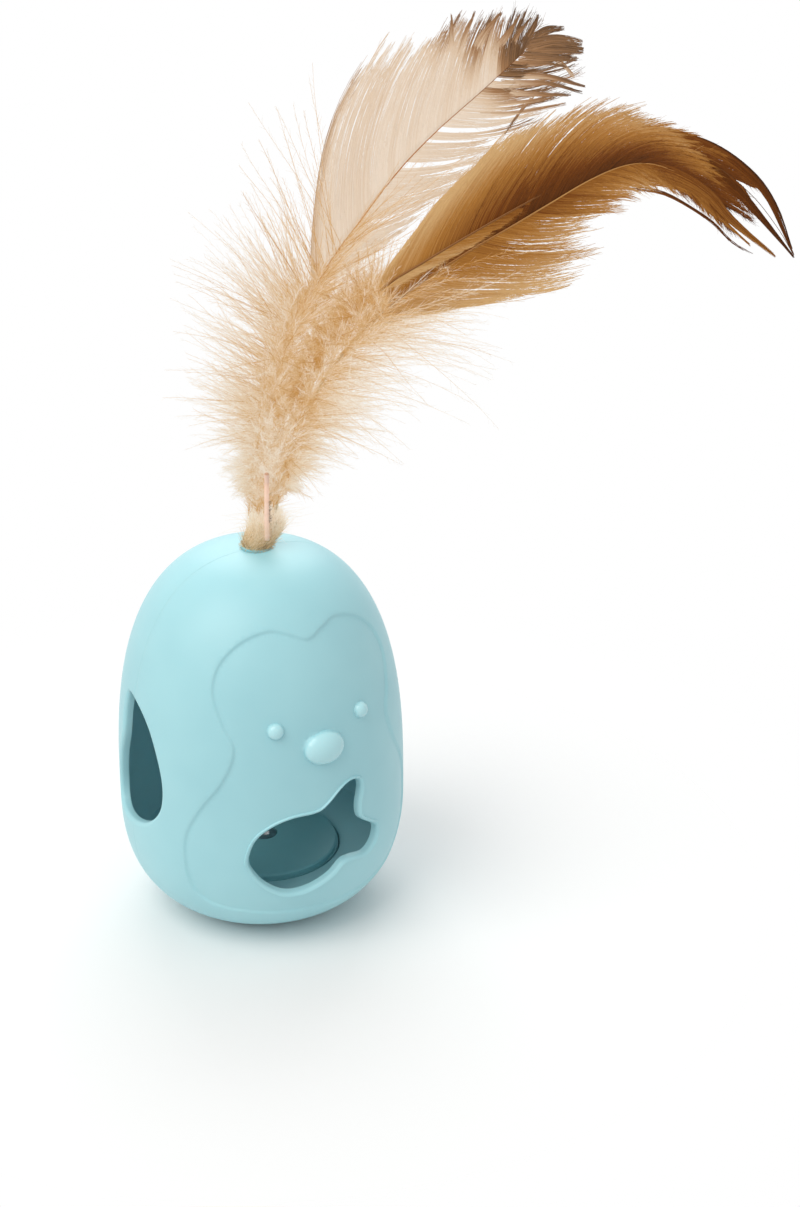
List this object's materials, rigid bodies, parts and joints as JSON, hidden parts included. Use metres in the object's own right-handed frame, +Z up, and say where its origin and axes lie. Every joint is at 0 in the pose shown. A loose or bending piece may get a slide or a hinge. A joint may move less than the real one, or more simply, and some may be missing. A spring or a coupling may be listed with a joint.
{
  "type": "treat dispensing wobble toy",
  "caption": "Weighted egg-shaped pet toy with a moulded face, cut-out treat holes, a twist-off weighted base and a swivelling crest of feathers on top.",
  "frame": {"origin": "centre of the flat foot under the base plug, on the surface that the toy stands on", "axes": "+Z up along the egg's axis, -Y towards the face, +X to the right as seen by someone who faces the toy"},
  "size_m": [0.1218, 0.0836, 0.1894],
  "materials": {
    "shell": "satin moulded plastic, pale aqua",
    "base": "satin moulded plastic, deeper aqua",
    "steel": "plain zinc-plated steel",
    "quill": "horny quill, translucent and pale",
    "thread": "wound thread set with glue",
    "tuft": "trimmed barbs, short and fuzzy",
    "pale_feather": "natural feather, pale with a brown tip",
    "brown_feather": "natural feather, mottled brown",
    "down": "loose cream down"
  },
  "bodies": {
    "shell": {"front_shell": "shell", "rear_shell": "shell"},
    "base": {"base_cap": "base", "ballast": "steel", "weight_cover": "base", "cover_screw": "steel"},
    "crest": {"crest_plug": "base", "crest_clip": "steel", "quill_root": "quill"},
    "feathers": {"thread_binding": "thread", "tuft": "tuft", "quill_stub": "quill", "feather_a": "pale_feather", "feather_b": "brown_feather", "feather_c": "brown_feather", "down_plume": "down"}
  },
  "joints": [
    {"name": "base_twist", "type": "hinge", "parent": "shell", "child": "base", "pos_m": [0, 0, 0.006], "axis": [0, 0, 1], "range_deg": [0, 45]},
    {"name": "crest_swivel", "type": "hinge", "parent": "shell", "child": "crest", "pos_m": [0, 0, 0.0785], "axis": [0, 0, 1], "continuous": true},
    {"name": "crest_sway", "type": "hinge", "parent": "crest", "child": "feathers", "pos_m": [0, 0, 0.082], "axis": [0.4924, 0.8704, 0], "range_deg": [-15, 15], "stiffness_Nm_per_rad": 0.06}
  ]
}
